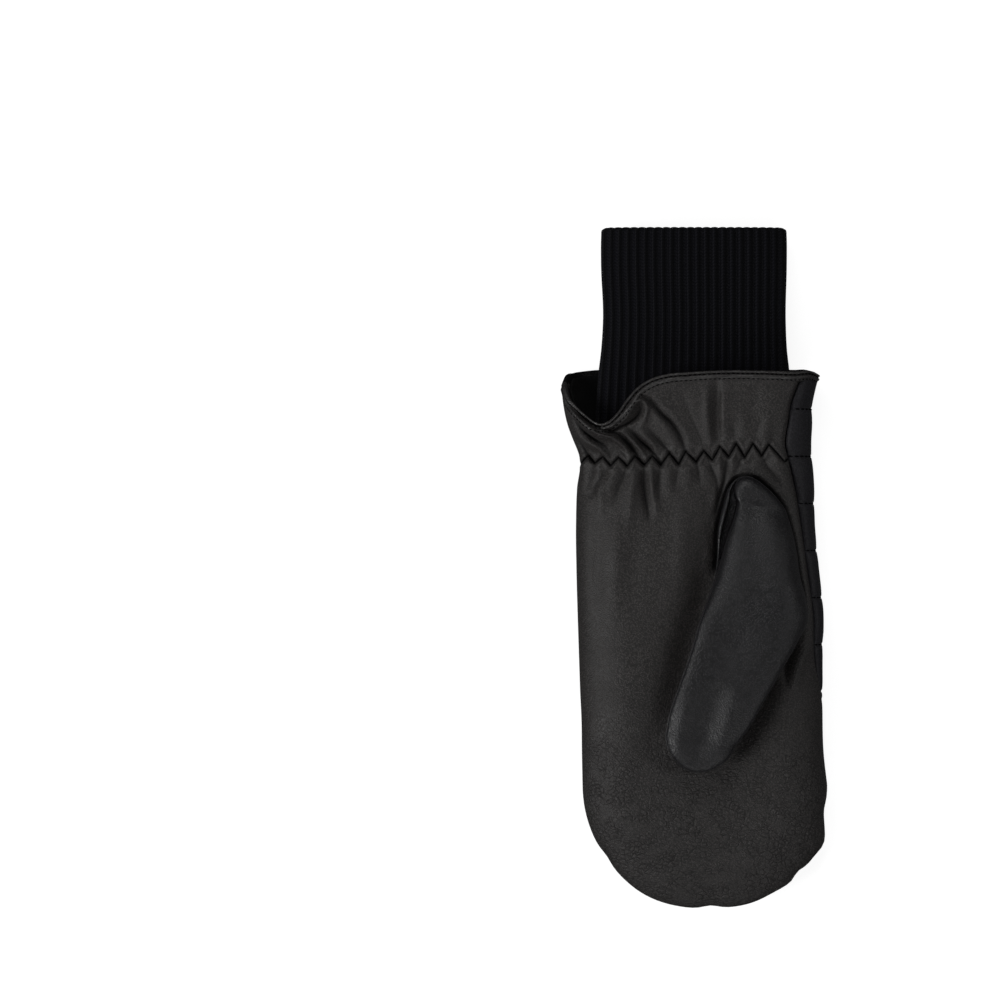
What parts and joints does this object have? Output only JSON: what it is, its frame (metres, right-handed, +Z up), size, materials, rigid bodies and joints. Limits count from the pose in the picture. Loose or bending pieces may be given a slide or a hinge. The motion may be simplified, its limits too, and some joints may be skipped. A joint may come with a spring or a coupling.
{
  "type": "leather mitten",
  "caption": "Leather mitten with a gathered wrist, a flared bound gauntlet, a hollow thumb, a quilted back and a ribbed knit cuff, lying palm up.",
  "frame": {"origin": "on the surface that the mitten lies on, under the middle of its outline", "axes": "+Z up from the quilted back to the palm, +Y from the fingers towards the knit cuff, +X towards the thumb side"},
  "size_m": [0.122, 0.3128, 0.0442],
  "materials": {
    "palm_leather": "black, fine grain, semi-matte",
    "back_leather": "black, smooth, quilted",
    "thumb_leather": "black, smooth, semi-matte",
    "binding_leather": "black, folded and stitched",
    "lining_fabric": "black woven lining",
    "knit_fabric": "black ribbed knit"
  },
  "bodies": {
    "root": {"palm": "palm_leather", "back": "back_leather", "thumb": "thumb_leather", "rim_binding": "binding_leather", "gauntlet_lining": "lining_fabric", "knit_cuff": "knit_fabric"}
  },
  "joints": []
}
